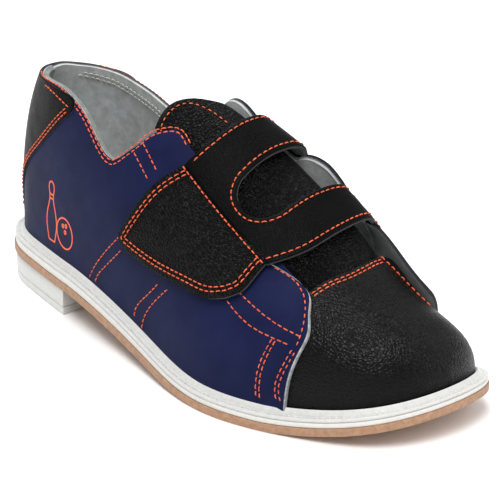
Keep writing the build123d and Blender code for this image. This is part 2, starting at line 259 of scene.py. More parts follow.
# ---- meshes ---------------------------------------------------------------------------------
def add_mesh(name, verts, faces, materials, indices=None):
    """Smooth-shaded piece from points in millimetres."""
    mesh = bpy.data.meshes.new(name)
    points = [tuple(v) for v in np.asarray(verts, float) * MM]
    mesh.from_pydata(points, [], [tuple(f) for f in faces])
    for material in materials:
        mesh.materials.append(material)
    if indices is not None:
        mesh.polygons.foreach_set("material_index", indices)
    mesh.polygons.foreach_set("use_smooth", [True] * len(mesh.polygons))
    mesh.validate()
    mesh.update()
    piece = bpy.data.objects.new(name, mesh)
    bpy.context.scene.collection.objects.link(piece)
    return piece


def shares(span, step, bead):
    """Even shares of a span, with extra ones close to both ends for a rounded edge."""
    count = max(int(span / step), 3)
    even = np.linspace(0, 1, count + 1)
    close = np.array([0.25, 1.0]) * bead / max(span, 1)
    return np.unique(np.concatenate([even, close, 1 - close]))


def patch(low, high, left=None, right=None, step=2.2, bead=0.5):
    """Grid between four curves: low and high run the same way, left and right go from low to high."""
    low, high = np.array(low, float), np.array(high, float)
    left = np.array([low[0], high[0]] if left is None else left, float)
    right = np.array([low[-1], high[-1]] if right is None else right, float)
    u = shares(max(length(low), length(high)), step, bead)
    v = shares(max(length(left), length(right)), step, bead)
    lo, hi, le, ri = along(low, u), along(high, u), along(left, v), along(right, v)
    uu, vv = u[:, None, None], v[None, :, None]
    grid = (1 - vv) * lo[:, None] + vv * hi[:, None] + (1 - uu) * le[None] + uu * ri[None]
    corners = ((1 - uu) * (1 - vv) * lo[0] + uu * (1 - vv) * lo[-1]
               + (1 - uu) * vv * hi[0] + uu * vv * hi[-1])
    return grid - corners


def edge_distance(grid):
    """Distance of each grid point from the grid's border, near enough."""
    def run(axis):
        gaps = np.linalg.norm(np.diff(grid, axis=axis), axis=-1)
        zero = np.zeros_like(np.take(gaps, [0], axis=axis))
        s = np.concatenate([zero, np.cumsum(gaps, axis=axis)], axis=axis)
        return np.minimum(s, np.take(s, [-1], axis=axis) - s)
    return np.minimum(run(0), run(1))


def thick(name, grid, outer, inner, materials, bead=0.45, shift=None, raw=0):
    """Closed sheet of leather over a grid, between two offsets, with a rounded outer edge."""
    on = snap(grid)
    normal = normals(on)
    moved = on + (0 if shift is None else shift(on))
    away = np.clip(edge_distance(on) / bead, 0, 1)
    top = outer - bead * (1 - np.sqrt(1 - (1 - away) ** 2))
    return sheet_mesh(name, moved + normal * np.asarray(top)[..., None],
                      moved + normal * np.asarray(inner + 0 * away)[..., None], materials, raw)


FACING_EDGE = [(-108, 40), (-105, 44), (-101, 50), (-92, 56), (-80, 63), (-60, 73), (-25, 90),
               (0, 102), (8, 107), (18, 107), (28, 101)]
FACING_HUMPS = ((-90, 26, 6.5), (-37, 16, 7.0), (10, 13, 6.0))      # middle, reach and rise
FACING_WIDTH = 13


def facing_flare(on):
    """The medial facing stands up from the foot wherever no strap leg holds it down."""
    y = on[..., 1]
    lift_by = np.zeros_like(y)
    for middle, reach, rise in FACING_HUMPS:
        lift_by += rise * np.clip(1 - ((y - middle) / reach) ** 2, 0, 1) ** 0.8
    edge_y, edge_z = np.array(FACING_EDGE).T
    below = 1.2 * (np.interp(y, edge_y, edge_z) - on[..., 2])
    share = np.clip(1 - below / FACING_WIDTH, 0, 1) ** 1.6
    return np.stack([0 * y, 0 * y, lift_by * share], axis=-1)


def sheet_mesh(name, top, bottom, materials, raw=0):
    """Closed mesh from an outer and an inner grid: outside, inside and rim materials.
    The first raw rows of the outside are a cut edge too."""
    rows, cols = top.shape[:2]
    verts = np.concatenate([top.reshape(-1, 3), bottom.reshape(-1, 3)])
    below = rows * cols
    faces, index = [], []
    for i in range(rows - 1):
        for j in range(cols - 1):
            a, b = i * cols + j, (i + 1) * cols + j
            faces += [(a, b, b + 1, a + 1), (below + a, below + a + 1, below + b + 1, below + b)]
            index += [2 if i < raw else 0, 1]
    border = [i * cols for i in range(rows)]
    border += [(rows - 1) * cols + j for j in range(1, cols)]
    border += [i * cols + cols - 1 for i in range(rows - 2, -1, -1)]
    border += [j for j in range(cols - 2, 0, -1)]
    for a, b in zip(border, border[1:] + border[:1]):
        faces.append((b, a, below + a, below + b))
        index.append(2)
    piece = add_mesh(name, verts, faces, materials, index)
    fix_normals(piece)
    return piece


SHARP_ANGLE = math.radians(50)


def fix_normals(piece, weld=False):
    """Faces turned outwards, welded if asked, with the sharpest edges left unsmoothed."""
    bm = bmesh.new()
    bm.from_mesh(piece.data)
    if weld:
        bmesh.ops.remove_doubles(bm, verts=bm.verts, dist=1e-6)
    bmesh.ops.recalc_face_normals(bm, faces=bm.faces)
    for edge in bm.edges:
        if edge.is_manifold and edge.calc_face_angle(0) > SHARP_ANGLE:
            edge.smooth = False
    bm.to_mesh(piece.data)
    bm.free()


# ---- materials ------------------------------------------------------------------------------
MIX_FACTOR, MIX_A, MIX_B, MIX_RESULT = 0, 6, 7, 2       # the Mix node's sockets for colours


class Nodes:
    """Small helper that builds a Principled material."""

    def __init__(self, name):
        self.material = bpy.data.materials.new(name)
        self.material.use_nodes = True
        self.tree = self.material.node_tree
        self.shader = self.tree.nodes["Principled BSDF"]

    def add(self, kind, **values):
        node = self.tree.nodes.new(kind)
        for key, value in values.items():
            setattr(node, key, value)
        return node

    def link(self, a, b):
        self.tree.links.new(a, b)

    def noise(self, scale, detail=3.0, rough=0.55, distortion=0.0):
        node = self.add("ShaderNodeTexNoise")
        node.inputs["Scale"].default_value = scale
        node.inputs["Detail"].default_value = detail
        node.inputs["Roughness"].default_value = rough
        node.inputs["Distortion"].default_value = distortion
        self.link(self.coordinates(), node.inputs["Vector"])
        return node.outputs["Fac"]

    def cells(self, scale):
        node = self.add("ShaderNodeTexVoronoi", feature="DISTANCE_TO_EDGE")
        node.inputs["Scale"].default_value = scale
        self.link(self.coordinates(), node.inputs["Vector"])
        return node.outputs["Distance"]

    def coordinates(self):
        return self.add("ShaderNodeTexCoord").outputs["Object"]

    def remap(self, value, low, high, to_low, to_high):
        node = self.add("ShaderNodeMapRange")
        for key, number in zip(("From Min", "From Max", "To Min", "To Max"),
                               (low, high, to_low, to_high)):
            node.inputs[key].default_value = number
        self.link(value, node.inputs["Value"])
        return node.outputs["Result"]

    def mix(self, fac, a, b):
        node = self.add("ShaderNodeMix", data_type="RGBA")
        node.inputs[MIX_A].default_value = (*a, 1)
        node.inputs[MIX_B].default_value = (*b, 1)
        self.link(fac, node.inputs[MIX_FACTOR])
        return node.outputs[MIX_RESULT]

    def maths(self, operation, a, b):
        node = self.add("ShaderNodeMath", operation=operation)
        for socket, value in zip(node.inputs, (a, b)):
            if isinstance(value, (int, float)):
                socket.default_value = value
            else:
                self.link(value, socket)
        return node.outputs[0]

    def bump(self, height, strength, distance):
        node = self.add("ShaderNodeBump")
        node.inputs["Strength"].default_value = strength
        node.inputs["Distance"].default_value = distance
        self.link(height, node.inputs["Height"])
        self.link(node.outputs["Normal"], self.shader.inputs["Normal"])


def rgb(r, g, b):
    """Linear colour from sRGB values of 0 to 255."""
    return tuple((c / 255 / 12.92) if c < 10 else ((c / 255 + 0.055) / 1.055) ** 2.4
                 for c in (r, g, b))


def leather(name, dark, light, grain, depth, rough=(0.36, 0.5), creases=0.5, gloss=0.06):
    """Grained leather: cells of a pebble size, softened by creases, worn lighter in places."""
    n = Nodes(name)
    cells = n.cells(grain)
    soft = n.noise(grain * 0.55, 4, 0.6)
    height = n.maths("ADD", n.remap(cells, 0, 0.35, 0, 1), n.maths("MULTIPLY", soft, creases))
    n.bump(height, depth, 0.0006)
    n.link(n.mix(n.remap(n.noise(38, 4), 0.35, 0.7, 0, 1), dark, light),
           n.shader.inputs["Base Color"])
    n.link(n.remap(n.noise(120, 3), 0.3, 0.7, *rough), n.shader.inputs["Roughness"])
    n.shader.inputs["Specular IOR Level"].default_value = gloss
    return n.material


def woven(name, dark, light, scale, depth, rough=0.85):
    """Fine mottled surface: brushed lining, cut leather, and, with little depth, rubber."""
    n = Nodes(name)
    fibre = n.noise(scale, 6, 0.7, 0.6)
    n.bump(fibre, depth, 0.0004)
    n.link(n.mix(n.remap(n.noise(scale * 0.22, 5, 0.65), 0.3, 0.7, 0, 1), dark, light),
           n.shader.inputs["Base Color"])
    n.shader.inputs["Roughness"].default_value = rough
    n.shader.inputs["Sheen Weight"].default_value = 0.15
    return n.material


def thread(name, dark, light):
    n = Nodes(name)
    n.link(n.mix(n.remap(n.noise(900, 3), 0.35, 0.65, 0, 1), dark, light),
           n.shader.inputs["Base Color"])
    n.bump(n.noise(2600, 2), 0.5, 0.0001)
    n.shader.inputs["Roughness"].default_value = 0.55
    return n.material


BLACK_PEBBLE = leather("black_pebbled", rgb(4, 4, 5), rgb(8, 8, 9), 620, 0.8, (0.3, 0.4), 0.8, 0.07)
BLACK_VAMP = leather("black_vamp", rgb(4, 4, 5), rgb(8, 8, 9), 700, 0.34, (0.26, 0.34), 0.7, 0.14)
BLACK_SMOOTH = leather("black_smooth", rgb(3, 3, 4), rgb(7, 7, 8), 900, 0.22,
                       (0.34, 0.44), 0.5, 0.05)
BLUE_SMOOTH = leather("blue_smooth", rgb(19, 24, 56), rgb(26, 32, 68), 1600, 0.08,
                      (0.46, 0.54), 0.4)
# The grey lining's own grey, darkened a little for painted shade deep inside the collar.
SHADED_GREY_LINING = woven("grey_lining", rgb(96, 104, 99), rgb(130, 137, 132), 900, 0.35)
# The same grey lining on the medial facing, made lighter: painted light where the facing sits in
# shade.
LIT_FACING_LINING = woven("lit_facing_lining", rgb(158, 162, 162), rgb(196, 199, 199), 900, 0.35)
RAW_EDGE = woven("raw_edge", rgb(96, 98, 100), rgb(186, 187, 188), 1400, 0.7, 0.9)
DARK_EDGE = woven("dark_edge", rgb(16, 16, 17), rgb(40, 40, 41), 1400, 0.5, 0.9)
FOOTBED_CLOTH = woven("footbed_cloth", rgb(120, 124, 120), rgb(158, 161, 156), 1300, 0.5, 0.92)
WELT_WHITE = woven("welt_white", rgb(198, 198, 196), rgb(212, 212, 209), 1800, 0.06, 0.5)
MIDSOLE_WHITE = woven("midsole_white", rgb(212, 211, 206), rgb(222, 221, 216), 1800, 0.04, 0.45)
HEEL_RUBBER = woven("heel_rubber", rgb(202, 203, 200), rgb(214, 215, 212), 1600, 0.05, 0.5)
TAN_SOLE = woven("tan_sole", rgb(150, 112, 88), rgb(186, 146, 114), 2200, 0.6, 0.85)
HOOK_LOOP = woven("hook_and_loop", rgb(8, 8, 8), rgb(28, 28, 28), 2200, 1.0, 0.95)
ORANGE = thread("orange_thread", rgb(196, 66, 26), rgb(246, 112, 62))
PALE_THREAD = thread("pale_thread", rgb(170, 168, 158), rgb(206, 204, 192))
WHITE_THREAD = thread("white_thread", rgb(196, 196, 190), rgb(232, 232, 228))
PRINT = thread("orange_print", rgb(238, 92, 52), rgb(252, 106, 64))

UPPER_BLACK = [BLACK_SMOOTH, SHADED_GREY_LINING, DARK_EDGE]
PEBBLE = [BLACK_PEBBLE, SHADED_GREY_LINING, DARK_EDGE]


# ---- stitches -------------------------------------------------------------------------------
STITCH, PITCH, THREAD_R, THREAD_SIDES = 2.75, 3.2, 0.32, 6
STITCH_ARCH = ((-0.3, 0.55), (0.14, 0.95), (0.24, 1.0), (0.14, 0.95), (-0.3, 0.55))  # rise, width
STITCH_WANDER = 0.05


def stitches(name, lines, out, material=ORANGE, on_skin=True, sink=None):
    """Rows of separate stitches along lines, sunk at both ends, at an offset from the surface."""
    verts, faces = [], []
    arch, sides = len(STITCH_ARCH), THREAD_SIDES
    for line in lines:
        run = along(line, np.linspace(0, 1, max(int(length(line) / 0.8), 4)))
        run = snap(run) if on_skin else run
        total = length(run)
        for k in range(int(total / PITCH)):
            places = k * PITCH + np.linspace(0.1, STITCH, arch)
            spots = along(run, np.clip(places / total, 0, 1))
            spots += np.random.RandomState(k).uniform(-STITCH_WANDER, STITCH_WANDER, 3)
            normal = normals(spots) if on_skin else np.tile([0, 0, 1.0], (arch, 1))
            down = np.zeros(arch) if sink is None else sink(spots)
            ahead = spots[-1] - spots[0]
            ahead /= max(np.linalg.norm(ahead), 1e-6)
            start = len(verts)
            for at, up, drop, (rise, wide) in zip(spots, normal, down, STITCH_ARCH):
                side = np.cross(ahead, up)
                side /= max(np.linalg.norm(side), 1e-6)
                centre = at + up * (out + rise - drop)
                for turn in range(sides):
                    a = turn * math.pi * 2 / sides
                    verts.append(centre + THREAD_R * wide * (side * math.cos(a) + up * math.sin(a)))
            for ring in range(arch - 1):
                for turn in range(sides):
                    a = start + ring * sides + turn
                    b = start + ring * sides + (turn + 1) % sides
                    faces.append((a, b, b + sides, a + sides))
            faces.append([start + t for t in range(sides - 1, -1, -1)])
            faces.append([start + (arch - 1) * sides + t for t in range(sides)])
    return add_mesh(name, verts, faces, [material])


def double(line, gap):
    """A seam line and its twin beside it on the surface."""
    run = snap(along(line, np.linspace(0, 1, 60)))
    ahead = np.gradient(run, axis=0)
    across = np.cross(ahead, normals(run))
    across /= np.linalg.norm(across, axis=1)[:, None]
    return [run, run + across * gap]


def beside(line, gap):
    """The twin alone, on one side or, with a negative gap, on the other."""
    return double(line, gap)[1]


def finish_piece(piece, body, slot, *nodes):
    """A piece that moves with one body, with the CAD nodes it stands for hidden; its material slot is
    not used.
    """
    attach(piece, body)
    if nodes:
        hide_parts(*nodes)


# ---- sole -----------------------------------------------------------------------------------
def ring_mesh(name, rings, materials, cap=False):
    """Closed mesh from a stack of rings.  With cap, the first and last rings are already drawn in
    on themselves; without it, the last ring joins the first."""
    count = len(rings[0])
    verts = np.concatenate(rings)
    faces = []
    stack = len(rings)
    for k in range(stack - 1 if cap else stack):
        for i in range(count):
            a, b = k * count + i, k * count + (i + 1) % count
            c = ((k + 1) % stack) * count
            faces.append((a, b, c + (i + 1) % count, c + i))
    piece = add_mesh(name, verts, faces, materials)
    fix_normals(piece, weld=True)
    return piece


def lift(plan, z):
    return np.column_stack([plan, z(plan[:, 1])])


def centred(plan, share, z):
    """A ring drawn in towards the middle line of the sole."""
    y = np.clip(plan[:, 1], -98, 100)
    middle = np.column_stack([(np.interp(y, LATERAL_LINE[:, 1], LATERAL_LINE[:, 0])
                               + np.interp(y, MEDIAL_LINE[:, 1], MEDIAL_LINE[:, 0])) / 2, y])
    return lift(plan + (middle - plan) * share, z)


def sole_layer(name, inset, low, high, material, edge):
    """Full sole layer with rounded edges and closed faces."""
    face = outline(inset + edge)[::3]

    def rounded(share, level, sign):
        angle = share * math.pi / 2
        plan = outline(inset + edge * (1 - math.sin(angle)))[::3]
        return lift(plan, lambda y: level(y) + sign * edge * (1 - math.cos(angle)))

    rings = [centred(face, share, low) for share in (1.0, 0.6, 0.2)]
    rings.append(lift(face, low))
    rings += [rounded(share, low, 1) for share in (0.3, 0.7, 1.0)]
    rings.append(lift(outline(inset)[::3], lambda y: (low(y) + high(y)) / 2))
    rings += [rounded(share, high, -1) for share in (1.0, 0.7, 0.3)]
    rings.append(lift(face, high))
    rings += [centred(face, share, high) for share in (0.2, 0.6, 1.0)]
    return ring_mesh(name, rings, [material], cap=True)


def heel_plan(inset, count=300):
    """Outline of the heel block in plan, with a straight breast."""
    plan = outline(inset)
    back = plan[plan[:, 1] > HEEL_BREAST_Y]
    start = np.argmax(np.linalg.norm(np.roll(back, -1, 0) - back, axis=1)) + 1
    back = np.roll(back, -start, axis=0)
    loop = np.vstack([back, back[:1]])
    return along(loop, np.linspace(0, 1, count, endpoint=False))


HEEL_MIDDLE = (9.0, 107.0)


def heel_layer(name, inset, low, high, material):
    """Heel layer with small rounded edges, closed at the middle of both faces."""
    plan = heel_plan(inset)
    toward = np.array([HEEL_MIDDLE]) - plan
    toward = toward / np.linalg.norm(toward, axis=1)[:, None]
    middle = np.tile(HEEL_MIDDLE, (len(plan), 1))
    steps = ((14, low), (4, low), (0.8, low), (0.2, low + 0.25), (0, low + 0.9),
             (0, high - 0.5), (0.4, high), (14, high))
    plans = [(middle, low), *((plan + toward * depth, z) for depth, z in steps), (middle, high)]
    rings = [np.column_stack([ring, np.full(len(ring), z)]) for ring, z in plans]
    return ring_mesh(name, rings, [material], cap=True)


# The welt's section: a rounded outer bead, a groove, and a raised storm lip against the upper.
WELT_PROFILE = [(13, 0.0), (6, 0.0), (1.4, 0.0), (0.7, 0.25), (0.4, 0.8), (0.45, 1.5), (0.9, 2.0),
                (1.6, 2.15), (2.1, 1.75), (2.5, 1.75), (3.0, 2.3), (3.6, 2.5), (4.1, 2.35),
                (4.4, 2.6), (4.9, 4.0), (5.5, 4.6), (6.1, 4.3), (6.6, 2.6), (8, 2.4), (13, 2.4)]
WHEELED_RISES, WHEEL_DENT, WHEEL_EVERY = (2.15, 2.5, 2.35), 0.16, 6      # the notched ridges
WELT_SEAM_INSET, WELT_SEAM_RISE = 2.3, 1.85


def make_sole():
    finish_piece(sole_layer("outsole_leather", 0.0, z_bottom, z_midsole, TAN_SOLE, 0.35),
                 "root", "tan_leather_sole", "outsole")
    finish_piece(sole_layer("midsole_band", 0.6, z_midsole, z_welt, MIDSOLE_WHITE, 0.7),
                 "root", "white_midsole", "midsole")
    finish_piece(heel_layer("heel_rubber_block", 1.0, TOP_LIFT_T, HEEL_HEIGHT, HEEL_RUBBER),
                 "root", "heel_rubber", "heel_block", "heel_nails")
    finish_piece(heel_layer("heel_wear_lift", 1.2, 0.0, TOP_LIFT_T - 0.15, HEEL_RUBBER),
                 "root", "heel_rubber", "heel_top_lift")
    rings = []
    for inset, rise in WELT_PROFILE:
        plan = outline(inset)
        rises = np.full(len(plan), rise)
        if rise in WHEELED_RISES:
            rises[::WHEEL_EVERY] -= WHEEL_DENT
        rings.append(lift(plan, z_welt) + np.column_stack([np.zeros((len(plan), 2)), rises]))
    finish_piece(ring_mesh("storm_welt", rings, [WELT_WHITE]), "root", "white_welt", "welt")
    lockstitch = lift(outline(WELT_SEAM_INSET), lambda y: z_welt(y) + WELT_SEAM_RISE)
    finish_piece(stitches("welt_stitching", [np.vstack([lockstitch, lockstitch[:1]])], 0,
                          WHITE_THREAD, on_skin=False), "root", "white_welt")


# ---- upper ----------------------------------------------------------------------------------
LATERAL_TOP = [(-24.5, -60, 66), (-22, -48, 75), (-18, -30, 86), (-14, -8, 100), (-11.4, 7, 102),
               (-10.4, 14, 105.7), (-12.7, 19, 105), (-16, 25, 102), (-19, 29, 98), (-22, 36, 92),
               (-24, 44, 87.5), (-23, 54, 91), (-21, 62.5, 98), (-19, 71, 104), (-15, 88, 108),
               *walls(-1, (105, 107.8), (113, 106.8), (118.5, 106.4)), (8, 122.3, 106.4)]
LATERAL_FRONT = [feather(-87, -1), (-41.8, -87.5, 19), (-40, -88.5, 28.7), (-36.5, -90.5, 38),
                 (-32, -91, 45.7), (-28, -87.5, 52), (-24, -83.5, 58), (-22.8, -78.5, 61),
                 (-23, -70, 63.5), (-24.5, -60, 66)]
BACK_SEAM = [feather(137.2, 1), (8, 137.2, 50), (8, 136.5, 66), (8, 131, 88), (8, 122.3, 106.4)]
MEDIAL_TOP = walls(1, (-60, 73), (-25, 90), (0, 102), (8, 107), (18, 107), (28, 101), (40, 96.5),
                   (56, 95.5), (74, 98.5), (92, 101), (108, 104), (114, 105.2),
                   (118.5, 106)) + [(8, 122.3, 106.4)]
MEDIAL_FRONT = [feather(-98, 1)] + walls(1, (-97, 15), (-99, 30), (-105, 44), (-101, 50), (-92, 56),
                                         (-80, 63), (-60, 73))


LINING_DROP = 0.6
RAW_RAISE, RAW_WIDTH = 0.7, 7        # the lateral quarter's front edge curls up


def lowered(points, drop):
    return [(x, y, z - drop) for x, y, z in points]


def make_quarters():
    lateral = patch(feather_run(-1, -87, 137.2, 90), curve(LATERAL_TOP),
                    curve(LATERAL_FRONT), curve(BACK_SEAM), bead=0.8)
    from_front = np.linalg.norm(np.diff(lateral, axis=0), axis=-1).cumsum(axis=0)
    from_front = np.concatenate([0 * from_front[:1], from_front])
    raised = RAW_RAISE * np.clip(1 - from_front / RAW_WIDTH, 0, 1) ** 2
    piece = thick("lateral_quarter_leather", lateral, raised, QUARTER_IN,
                  [BLUE_SMOOTH, SHADED_GREY_LINING, RAW_EDGE], bead=0.8, raw=2)
    finish_piece(piece, "root", "blue_leather", "lateral_quarter")
    medial = patch(feather_run(1, -98, 137.2, 90), curve(MEDIAL_TOP),
                   curve(MEDIAL_FRONT), curve(BACK_SEAM))
    piece = thick("medial_quarter_leather", medial, 0.0, QUARTER_IN,
                  [BLUE_SMOOTH, LIT_FACING_LINING, DARK_EDGE], shift=facing_flare)
    finish_piece(piece, "root", "blue_leather", "medial_quarter")


def make_vamp():
    toe = feather_run(-1, -74, -118, 20)
    nose = feather_run(-1, -118, -137.3, 30)
    nose += feather_run(1, -137.3, -118, 30)
    medial = feather_run(1, -84, -118, 20)
    back = [feather(-74, -1)] + walls(-1, (-74, 30), (-75, 45))
    back += tops((-22, -81.0), (-12, -83.5), (-2, -85.5), (9, -85.5), (20, -84.5))
    back += walls(1, (-82, 55), (-84, 35)) + [feather(-84, 1)]
    grid = patch(nose, curve(back), toe[::-1], medial[::-1])
    piece = thick("vamp_leather", grid, QUARTER_IN, VAMP_IN, [BLACK_VAMP, SHADED_GREY_LINING, DARK_EDGE])
    finish_piece(piece, "root", "black_leather", "vamp", "toe_puff", "vamp_lining")


def make_linings():
    """Grey linings inside the collar and the throat, one on each side; the medial one is a lighter
    copy of the same grey, with painted light.
    """
    low = feather_run(-1, -60, 137.2, 70)
    grid = patch(low, curve(lowered(LATERAL_TOP, LINING_DROP)), None, curve(BACK_SEAM))
    piece = thick("lateral_lining_leather", grid, QUARTER_IN - 0.05, LINING_IN, [SHADED_GREY_LINING] * 3)
    finish_piece(piece, "root", "grey_lining", "lateral_lining", "heel_lining", "heel_stiffener")
    low = feather_run(1, -60, 137.2, 70)
    grid = patch(low, curve(lowered(MEDIAL_TOP, LINING_DROP)), None, curve(BACK_SEAM))
    piece = thick("medial_lining_leather", grid, QUARTER_IN - 0.05, LINING_IN + 1.1,
                  [LIT_FACING_LINING] * 3, shift=facing_flare)
    finish_piece(piece, "root", "grey_lining", "medial_lining")


def make_backstay():
    side = walls(-1, (78, 100.0), (99, 81), (115, 67), (126, 53), (132, 40)) + [feather(134.5, -1)]
    other = walls(1, (92, 100.5), (112, 72), (126, 53), (132, 40)) + [feather(134.5, 1)]
    top = walls(-1, (78, 100), (76, 104.5), (90, 107.6), (105, 107.5), (113, 106.6), (118.5, 106.2))
    top += [(8, 122.3, 106.2)] + walls(1, (118.5, 105.8), (114, 105), (108, 103.8), (92, 100.5))
    low = [feather(y, foot) for y, foot in ((134.5, -1), (136.3, -1), (137.2, 1), (136.3, 1),
                                            (134.5, 1))]
    grid = patch(low, curve(top), curve(side[::-1]), curve(other[::-1]), step=1.8)
    piece = thick("backstay_leather", grid, 0.9, 0.02, UPPER_BLACK)
    finish_piece(piece, "root", "black_leather", "backstay")


FOOTBED_INSET = 4.6


def z_insole(y):
    return z_feather(y) + INSOLE_T


def make_footbed():
    low = outline(WELT_SHELF + FOOTBED_INSET)[::4]
    rings = [centred(low, share, z_insole) for share in (1.0, 0.5)]
    rings.append(lift(low, z_insole))
    for depth, rise in ((0.0, 2.2), (0.6, 3.4), (1.8, FOOTBED_T)):
        plan = outline(WELT_SHELF + FOOTBED_INSET + depth)[::4]
        rings.append(lift(plan, lambda y: z_insole(y) + rise))
    for share in (0.3, 0.6, 1.0):
        rings.append(centred(low, share, lambda y: z_insole(y) + FOOTBED_T - 0.6 * share))
    piece = ring_mesh("padded_footbed", rings, [FOOTBED_CLOTH], cap=True)
    finish_piece(piece, "root", "footbed_fabric", "footbed", "insole_board")


# ---- tongue ---------------------------------------------------------------------------------
TONGUE_CROWN = 5.0           # width over which the padding swells from the edge
TONGUE_TOP_SWELL, TONGUE_UNDER_SWELL = 1.8, 2.2
TONGUE_DIVE = 1.1            # how far its front end drops under the vamp


def make_tongue():
    left = tops((-21, -90), (-24, -75), (-26, -45), (-24, 0), (-18.5, 13)) + [(-15, 27, 105)]
    right = tops((22, -90), (24, -75), (25, -45), (23.5, 0), (20, 10)) + [(9, 12, 115)]
    back = [(-15, 27, 105), (-7.5, 26.5, 113), (3.3, 20.5, 117.3), (9, 12, 115)]
    front = tops((-21, -90), (-12, -92), (-2, -93), (12, -93), (22, -90))
    grid = patch(curve(left), curve(right), curve(front), curve(back, 60), step=2.4)
    on = snap(grid)
    normal = normals(on)
    away = np.clip(edge_distance(on) / TONGUE_CROWN, 0, 1)
    crown = np.sqrt(1 - (1 - away) ** 2)
    top = TONGUE_OUT - TONGUE_TOP_SWELL * (1 - crown) - TONGUE_DIVE * ease(-80, -86, on[..., 1])
    under = TONGUE_IN + TONGUE_UNDER_SWELL * (1 - crown)
    piece = sheet_mesh("padded_tongue", on + normal * top[..., None],
                       on + normal * under[..., None], PEBBLE)
    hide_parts("tongue_leather", "tongue_foam", "tongue_lining")
    bend(piece)
    hem = curve([(-18, 14, 100.5), (-14.5, 22.5, 105), (-7, 23, 112), (2, 18, 116), (7, 9.5, 115),
                 (9, 0, 111)])
    edge = stitches("tongue_edge_stitching", [hem], TONGUE_OUT - 0.3)
    bend(edge)


def bend(piece):
    """Bake a piece's transform into its mesh."""
    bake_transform(piece)


# ---- strap ----------------------------------------------------------------------------------
FLAP_EDGE = [(1, 101.5), (13, 82), (20, 70.5), (25, 62), (27.5, 57), (26, 54), (21, 52), (9, 50),
             (-8, 48.5), (-26, 48), (-40, 48), (-49, 50.5), (-55.5, 54.5), (-58, 60), (-60, 66.5)]
FOLD = tops((-17.0, 1.0), (-21.5, -29.5), (-26, -60.0))
LEG_SINK, LEG_WIDTH, LEG_STEP, STRAP_BEAD = 2.1, 22, 1.7, 0.6
LEG_COUNTS = (34, 30, 34)            # steps along each run of the U
LEG_ROWS, HEM_ROWS = 99, (0.001, 0.004)
LEG_SEAM, FLAP_SEAM, FLAP_SECOND_SEAM, FOLD_SEAM = 2.4, 3.0, 5.0, 0.9


def leg_outline():
    """Outer and inner edges of the U-shaped legs, from the back leg's hem to the front leg's."""
    back_hem = walls(1, (-3.5, 90), (-3.5, 98))
    front_hem = walls(1, (-66, 68), (-67.5, 60))
    outer_back = back_hem + tops((29, -3.5), (18, -3.5), (0, -3.5)) + tops((-17.0, 1.0))
    outer_front = tops((-26, -60.0), (-15, -68.5), (5, -70.5), (24, -68.5), (31, -67)) + front_hem
    inner_back = walls(1, (-25, 84), (-25, 92)) + tops((30, -25), (18, -25), (0, -25), (-8, -25))
    inner_turn = tops((-8, -25), (-13.5, -28), (-16, -34), (-16, -40), (-13, -46), (-7, -49))
    inner_front = tops((-7, -49), (5, -49), (20, -49), (32, -49)) + walls(1, (-49, 80), (-49, 72))
    return (outer_back, FOLD, outer_front), (inner_back, inner_turn, inner_front)


def joined(runs, counts):
    """One polyline from several smooth runs, each with its own count of points."""
    parts = [curve(run, 60) for run in runs]
    parts = [along(part, np.linspace(0, 1, n + 1)) for part, n in zip(parts, counts)]
    return np.vstack([part[:-1] for part in parts[:-1]] + [parts[-1]])


def strap_sink(on):
    """How far the legs drop on to the medial quarter past the fold."""
    return LEG_SINK * ease(29, 34, on[..., 0])


def make_strap():
    """Both legs as one U, in rows across it that are closer together at the hems."""
    outer, inner = leg_outline()
    outer_line, inner_line = joined(outer, LEG_COUNTS), joined(inner, LEG_COUNTS)
    across = shares(LEG_WIDTH, LEG_STEP, 0.5)[None, :, None]
    close = np.array(HEM_ROWS)
    rows = np.unique(np.concatenate([np.linspace(0, 1, LEG_ROWS), close, 1 - close]))
    steps = np.arange(len(outer_line))
    at = rows * steps[-1]
    outer_line, inner_line = (
        np.stack([np.interp(at, steps, line[:, i]) for i in range(3)], axis=-1)
        for line in (outer_line, inner_line))
    grid = outer_line[:, None] * (1 - across) + inner_line[:, None] * across
    sink = strap_sink(snap(grid))
    piece = thick("strap_legs_leather", grid, STRAP_OUT - sink, STRAP_IN - sink, UPPER_BLACK,
                  bead=STRAP_BEAD)
    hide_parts("strap_anchor_upper", "strap_anchor_lower",
                "strap_upper_leg", "strap_lower_leg",
                "strap_upper_leg_lining", "strap_lower_leg_lining")
    bend(piece)
    lines = [beside(curve(outer[0]), -LEG_SEAM), beside(curve(outer[2]), -LEG_SEAM)]
    window = np.vstack([curve(run, 60) for run in inner])
    lines.append(beside(window, LEG_SEAM))
    seams = stitches("strap_leg_stitching", lines, STRAP_OUT, sink=strap_sink)
    bend(seams)


def make_flap():
    edge = walls(-1, *FLAP_EDGE)
    back, bottom, front = [FOLD[0]] + edge[1:5], edge[4:12], edge[11:]
    grid = patch(curve(back, 80), curve([FOLD[-1]] + front[::-1], 60), curve(FOLD, 60),
                 curve(bottom, 80))
    piece = thick("strap_flap_leather", grid, STRAP_OUT, STRAP_IN, PEBBLE, bead=STRAP_BEAD)
    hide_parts("strap_flap", "strap_flap_lining")
    bend(piece)
    rim = np.vstack([curve(back, 60), curve(bottom, 60)[1:], curve(front, 40)[1:]])
    lines = [beside(rim, -FLAP_SEAM), beside(rim, -FLAP_SECOND_SEAM),
             beside(curve(FOLD), FOLD_SEAM)]
    seams = stitches("strap_flap_stitching", lines, STRAP_OUT)
    bend(seams)


